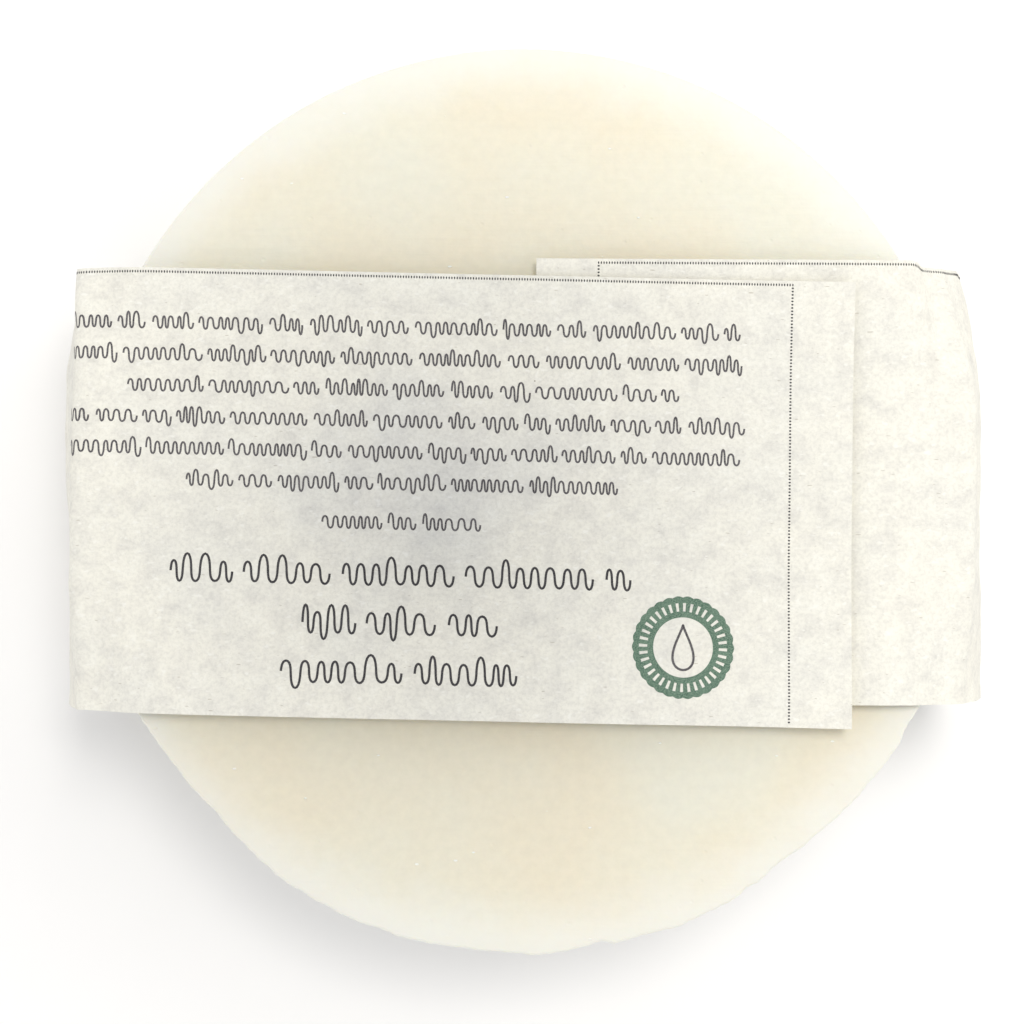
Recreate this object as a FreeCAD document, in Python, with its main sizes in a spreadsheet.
import FreeCAD, Part
import math
import os

import Sketcher
from FreeCAD import Vector

# Shaving soap puck held by a paper belly band.
#
# A round puck of soap lies flat. One strip of paper passes under it, up both sides and over the top,
# where its two ends overlap and are stuck together by a strip of tape.
#
# Frame: millimetres, +Z up, +X along the paper strip. The origin is under the centre of the puck, on
# the surface that the paper's front panel rests on.

# Driving dimensions: alias, value and meaning. Each row becomes one row of the spreadsheet.
DIMENSIONS = [
    ("puck_diameter", 77.0, "outer diameter of the soap"),
    ("puck_height", 25.0, "thickness of the slice"),
    ("puck_edge_round", 0.8, "softened edge, top and bottom"),
    ("puck_lift", 0.13, "clearance between the puck and the panel under it"),
    ("paper_thickness", 0.12, "sheet thickness of the band"),
    ("band_width", 38.1, "width of the strip"),
    ("band_shift", 1.0, "the band sits this far off the puck's centre line, towards +Y"),
    ("panel_half", 37.6, "half length of the flat panel under the puck"),
    ("base_bend_radius", 1.4, "radius of the fold where the panel turns up"),
    ("wall_reach", 41.0, "outermost face of each bulging side wall"),
    ("wall_belly_height", 12.92, "height at which the side walls bulge most"),
    ("fold_reach", 38.4, "distance of each top fold from the puck's axis"),
    ("fold_gap", 0.14, "drop from a fold's axis to the top end of the wall"),
    ("top_lift", 0.25, "clearance between the puck and the under flap"),
    ("tape_gap", 0.02, "clearance between the tape and the outer flap"),
    ("outer_flap_tip", 28.0, "where the outer flap ends, right of the centre"),
    ("under_flap_tip", 1.0, "where the under flap ends, right of the centre"),
    ("tape_thickness", 0.08, "double-sided tape"),
    ("tape_start", 12.0, "left end of the tape"),
    ("tape_length", 12.0, "length of the tape along the strip"),
    ("tape_width", 30.0, "width of the tape across the strip"),
]

VALUE = {alias: value for alias, value, meaning in DIMENSIONS}

# Heights worked out from the stack of layers, as expressions for the document.
PUCK_BOTTOM = "sizes.paper_thickness + sizes.puck_lift"
PUCK_TOP = PUCK_BOTTOM + " + sizes.puck_height"
UNDER_FLAP_MIDDLE = PUCK_TOP + " + sizes.top_lift + sizes.paper_thickness / 2"
TAPE_BOTTOM = UNDER_FLAP_MIDDLE + " + sizes.paper_thickness / 2"
OUTER_FLAP_MIDDLE = TAPE_BOTTOM + " + sizes.tape_thickness + sizes.tape_gap + sizes.paper_thickness / 2"

ORIGIN_POINT = (-1, 1)
VERTICAL_AXIS = -2

doc = FreeCAD.newDocument("shaving_soap_puck")


def value_of(expression):
    """Return the number that an expression on the spreadsheet's cells stands for."""
    sheet = doc.getObject("sizes")
    return float(sheet.evalExpression(expression.replace("sizes.", "")))


def make_sheet():
    """Put every driving dimension in a spreadsheet, one aliased cell each."""
    sheet = doc.addObject("Spreadsheet::Sheet", "sizes")
    for row, (alias, value, meaning) in enumerate(DIMENSIONS, start=1):
        sheet.set("A%d" % row, alias)
        sheet.set("B%d" % row, str(value))
        sheet.setAlias("B%d" % row, alias)
        sheet.set("C%d" % row, meaning)
    doc.recompute()


def new_body(label):
    """Add an empty body whose label is the sub-part's name."""
    body = doc.addObject("PartDesign::Body", label)
    body.Label = label
    return body


def new_sketch(body, name, plane):
    """Add a sketch on one of the body's own origin planes."""
    sketch = body.newObject("Sketcher::SketchObject", name)
    origin_plane = next(item for item in body.Origin.OriginFeatures if item.Role == plane)
    sketch.AttachmentSupport = (origin_plane, [""])
    sketch.MapMode = "FlatFace"
    return sketch


def dimension(sketch, name, constraint, expression):
    """Add a dimension to a sketch and bind it to an expression."""
    index = sketch.addConstraint(constraint)
    sketch.renameConstraint(index, name)
    sketch.setExpression(".Constraints." + name, expression)


def place_across(sketch, name, point, side, expression):
    """Hold a point at a distance from the sketch's vertical axis, right (1) or left (-1) of it."""
    ends = (*ORIGIN_POINT, *point) if side > 0 else (*point, *ORIGIN_POINT)
    dimension(sketch, name, Sketcher.Constraint("DistanceX", *ends, value_of(expression)), expression)


def place_up(sketch, name, point, expression):
    """Hold a point at a height above the sketch's origin."""
    constraint = Sketcher.Constraint("DistanceY", *ORIGIN_POINT, *point, value_of(expression))
    dimension(sketch, name, constraint, expression)


def soap_puck():
    """The slice of soap: a disc with softened edges."""
    body = new_body("soap_puck")
    sketch = new_sketch(body, "puck_outline", "XY_Plane")
    circle = sketch.addGeometry(Part.Circle(Vector(0, 0, 0), Vector(0, 0, 1), VALUE["puck_diameter"] / 2))
    sketch.addConstraint(Sketcher.Constraint("Coincident", circle, 3, *ORIGIN_POINT))
    across = Sketcher.Constraint("Diameter", circle, VALUE["puck_diameter"])
    dimension(sketch, "across", across, "sizes.puck_diameter")
    pad = body.newObject("PartDesign::Pad", "puck_slice")
    pad.Profile = sketch
    pad.setExpression("Length", "sizes.puck_height")
    doc.recompute()
    rims = [
        "Edge%d" % number
        for number, edge in enumerate(pad.Shape.Edges, start=1)
        if isinstance(edge.Curve, Part.Circle)
    ]
    fillet = body.newObject("PartDesign::Fillet", "puck_edges")
    fillet.Base = (pad, rims)
    fillet.setExpression("Radius", "sizes.puck_edge_round")
    body.setExpression("Placement.Base.z", PUCK_BOTTOM)
    return body


def arc(sketch, centre, radius, start, end, side):
    """Add an arc given by its angles on the right-hand side, mirrored for the left-hand side."""
    if side < 0:
        centre = (-centre[0], centre[1])
        start, end = math.pi - end, math.pi - start
    circle = Part.Circle(Vector(*centre, 0), Vector(0, 0, 1), radius)
    return sketch.addGeometry(Part.ArcOfCircle(circle, start, end))


def wall_route(body, name, side, fold_middle):
    """Draw the paper's route from under the puck's centre, out, and up one side to its top fold."""
    sketch = new_sketch(body, name, "XZ_Plane")
    near, far = (1, 2) if side > 0 else (2, 1)
    middle = VALUE["paper_thickness"] / 2
    bend = VALUE["base_bend_radius"]
    belly = VALUE["wall_belly_height"]
    reach = VALUE["wall_reach"] - middle
    top = value_of(fold_middle) - VALUE["fold_gap"]

    # The lower wall arc touches the bend arc from outside and is upright at the belly.
    inset = reach - VALUE["panel_half"]
    drop = belly - middle - bend
    lower_radius = (inset ** 2 + drop ** 2 - bend ** 2) / (2 * (inset - bend))
    lower_centre = reach - lower_radius
    lower_angle = math.atan2(drop, VALUE["panel_half"] - lower_centre)
    # The upper wall arc starts upright at the belly and ends at the fold.
    bulge = reach - VALUE["fold_reach"]
    rise = top - belly
    upper_radius = (bulge ** 2 + rise ** 2) / (2 * bulge)
    upper_angle = math.asin(rise / upper_radius)

    panel = sketch.addGeometry(
        Part.LineSegment(Vector(0, middle, 0), Vector(side * VALUE["panel_half"], middle, 0))
    )
    bend_centre = (VALUE["panel_half"], middle + bend)
    fold = arc(sketch, bend_centre, bend, -math.pi / 2, -lower_angle, side)
    lower = arc(sketch, (lower_centre, belly), lower_radius, -lower_angle, 0, side)
    upper = arc(sketch, (reach - upper_radius, belly), upper_radius, 0, upper_angle, side)

    sketch.addConstraint(Sketcher.Constraint("PointOnObject", panel, 1, VERTICAL_AXIS))
    sketch.addConstraint(Sketcher.Constraint("Horizontal", panel))
    sketch.addConstraint(Sketcher.Constraint("Tangent", panel, 2, fold, near))
    sketch.addConstraint(Sketcher.Constraint("Tangent", fold, far, lower, near))
    sketch.addConstraint(Sketcher.Constraint("Tangent", lower, far, upper, near))
    place_up(sketch, "panel_height", (panel, 1), "sizes.paper_thickness / 2")
    place_across(sketch, "panel_end", (panel, 2), side, "sizes.panel_half")
    bend_size = Sketcher.Constraint("Radius", fold, bend)
    dimension(sketch, "bend_radius", bend_size, "sizes.base_bend_radius")
    place_up(sketch, "belly_centre", (lower, 3), "sizes.wall_belly_height")
    place_up(sketch, "belly_height", (upper, near), "sizes.wall_belly_height")
    place_across(sketch, "belly_reach", (upper, near), side, "sizes.wall_reach - sizes.paper_thickness / 2")
    place_across(sketch, "fold_reach", (upper, far), side, "sizes.fold_reach")
    place_up(sketch, "fold_height", (upper, far), fold_middle + " - sizes.fold_gap")
    return sketch


def paper_section(body):
    """Draw the strip's cross-section where it passes under the puck's centre."""
    sketch = new_sketch(body, "paper_section", "YZ_Plane")
    half = VALUE["band_width"] / 2
    thick = VALUE["paper_thickness"]
    corners = [Vector(-half, 0, 0), Vector(half, 0, 0), Vector(half, thick, 0), Vector(-half, thick, 0)]
    lines = [
        sketch.addGeometry(Part.LineSegment(corner, corners[(number + 1) % 4]))
        for number, corner in enumerate(corners)
    ]
    for number, line in enumerate(lines):
        sketch.addConstraint(Sketcher.Constraint("Coincident", line, 2, lines[(number + 1) % 4], 1))
    for line in (lines[0], lines[2]):
        sketch.addConstraint(Sketcher.Constraint("Horizontal", line))
    for line in (lines[1], lines[3]):
        sketch.addConstraint(Sketcher.Constraint("Vertical", line))
    sketch.addConstraint(Sketcher.Constraint("Symmetric", lines[0], 1, lines[0], 2, *ORIGIN_POINT))
    width = Sketcher.Constraint("DistanceX", lines[0], 1, lines[0], 2, VALUE["band_width"])
    dimension(sketch, "width", width, "sizes.band_width")
    height = Sketcher.Constraint("DistanceY", lines[1], 1, lines[1], 2, thick)
    dimension(sketch, "thickness", height, "sizes.paper_thickness")
    return sketch


def band_wrap():
    """The paper under the puck and up both sides, swept out from the middle of its front panel."""
    body = new_body("band_wrap")
    section = paper_section(body)
    routes = [
        ("right_wall", wall_route(body, "right_route", 1, UNDER_FLAP_MIDDLE)),
        ("left_wall", wall_route(body, "left_route", -1, OUTER_FLAP_MIDDLE)),
    ]
    for name, route in routes:
        doc.recompute()
        pipe = body.newObject("PartDesign::AdditivePipe", name)
        pipe.Profile = section
        pipe.Spine = route
    body.setExpression("Placement.Base.y", "sizes.band_shift")
    return body


def flap(label, side, middle, tip, tip_expression):
    """A flat end of the strip, rounded where it turns on its fold."""
    body = new_body(label)
    sketch = new_sketch(body, label + "_profile", "XZ_Plane")
    half = VALUE["paper_thickness"] / 2
    hinge = side * VALUE["fold_reach"]
    height = value_of(middle)
    top = sketch.addGeometry(Part.LineSegment(Vector(hinge, height + half, 0), Vector(tip, height + half, 0)))
    end = sketch.addGeometry(Part.LineSegment(Vector(tip, height + half, 0), Vector(tip, height - half, 0)))
    base = sketch.addGeometry(Part.LineSegment(Vector(tip, height - half, 0), Vector(hinge, height - half, 0)))
    circle = Part.Circle(Vector(hinge, height, 0), Vector(0, 0, 1), half)
    start = -math.pi / 2 if side > 0 else math.pi / 2
    nose = sketch.addGeometry(Part.ArcOfCircle(circle, start, start + math.pi))
    upper, lower = (2, 1) if side > 0 else (1, 2)
    sketch.addConstraint(Sketcher.Constraint("Coincident", top, 2, end, 1))
    sketch.addConstraint(Sketcher.Constraint("Coincident", end, 2, base, 1))
    sketch.addConstraint(Sketcher.Constraint("Tangent", top, 1, nose, upper))
    sketch.addConstraint(Sketcher.Constraint("Tangent", base, 2, nose, lower))
    sketch.addConstraint(Sketcher.Constraint("Horizontal", top))
    sketch.addConstraint(Sketcher.Constraint("Vertical", end))
    nose_radius = Sketcher.Constraint("Radius", nose, half)
    dimension(sketch, "nose_radius", nose_radius, "sizes.paper_thickness / 2")
    place_across(sketch, "hinge_reach", (nose, 3), side, "sizes.fold_reach")
    place_up(sketch, "hinge_height", (nose, 3), middle)
    place_across(sketch, "tip_reach", (end, 1), 1, tip_expression)
    pad = body.newObject("PartDesign::Pad", label + "_strip")
    pad.Profile = sketch
    pad.SideType = "Symmetric"
    pad.setExpression("Length", "sizes.band_width")
    body.setExpression("Placement.Base.y", "sizes.band_shift")
    return body


def lap_adhesive():
    """The strip of double-sided tape on the under flap that holds the outer flap down."""
    tape = doc.addObject("Part::Box", "lap_adhesive")
    tape.Label = "lap_adhesive"
    tape.setExpression("Length", "sizes.tape_length")
    tape.setExpression("Width", "sizes.tape_width")
    tape.setExpression("Height", "sizes.tape_thickness")
    tape.setExpression("Placement.Base.x", "sizes.tape_start")
    tape.setExpression("Placement.Base.y", "sizes.band_shift - sizes.tape_width / 2")
    tape.setExpression("Placement.Base.z", TAPE_BOTTOM)
    return tape


def check_document(nodes):
    """Stop if any object failed to build or any sub-part isn't one valid solid."""
    for item in doc.Objects:
        if "Invalid" in item.State or "Error" in item.State:
            raise RuntimeError("%s did not build: %s" % (item.Name, item.State))
    for node in nodes:
        shape = node.Shape
        if shape.isNull() or not shape.isValid() or len(shape.Solids) != 1:
            raise RuntimeError("%s is not one valid solid" % node.Label)


def write_nodes(nodes):
    """Write each sub-part to its own STEP file."""
    os.makedirs("parts", exist_ok=True)
    for node in nodes:
        node.Shape.exportStep(os.path.join("parts", node.Label + ".step"))
        box = node.Shape.BoundBox
        print("%-16s %8.1f mm3  x %.2f..%.2f  y %.2f..%.2f  z %.2f..%.2f" % (
            node.Label, node.Shape.Volume, box.XMin, box.XMax, box.YMin, box.YMax, box.ZMin, box.ZMax
        ))


make_sheet()
sub_parts = [
    soap_puck(),
    band_wrap(),
    flap("band_outer_flap", -1, OUTER_FLAP_MIDDLE, VALUE["outer_flap_tip"], "sizes.outer_flap_tip"),
    flap("band_under_flap", 1, UNDER_FLAP_MIDDLE, VALUE["under_flap_tip"], "sizes.under_flap_tip"),
    lap_adhesive(),
]
doc.recompute()
check_document(sub_parts)
write_nodes(sub_parts)
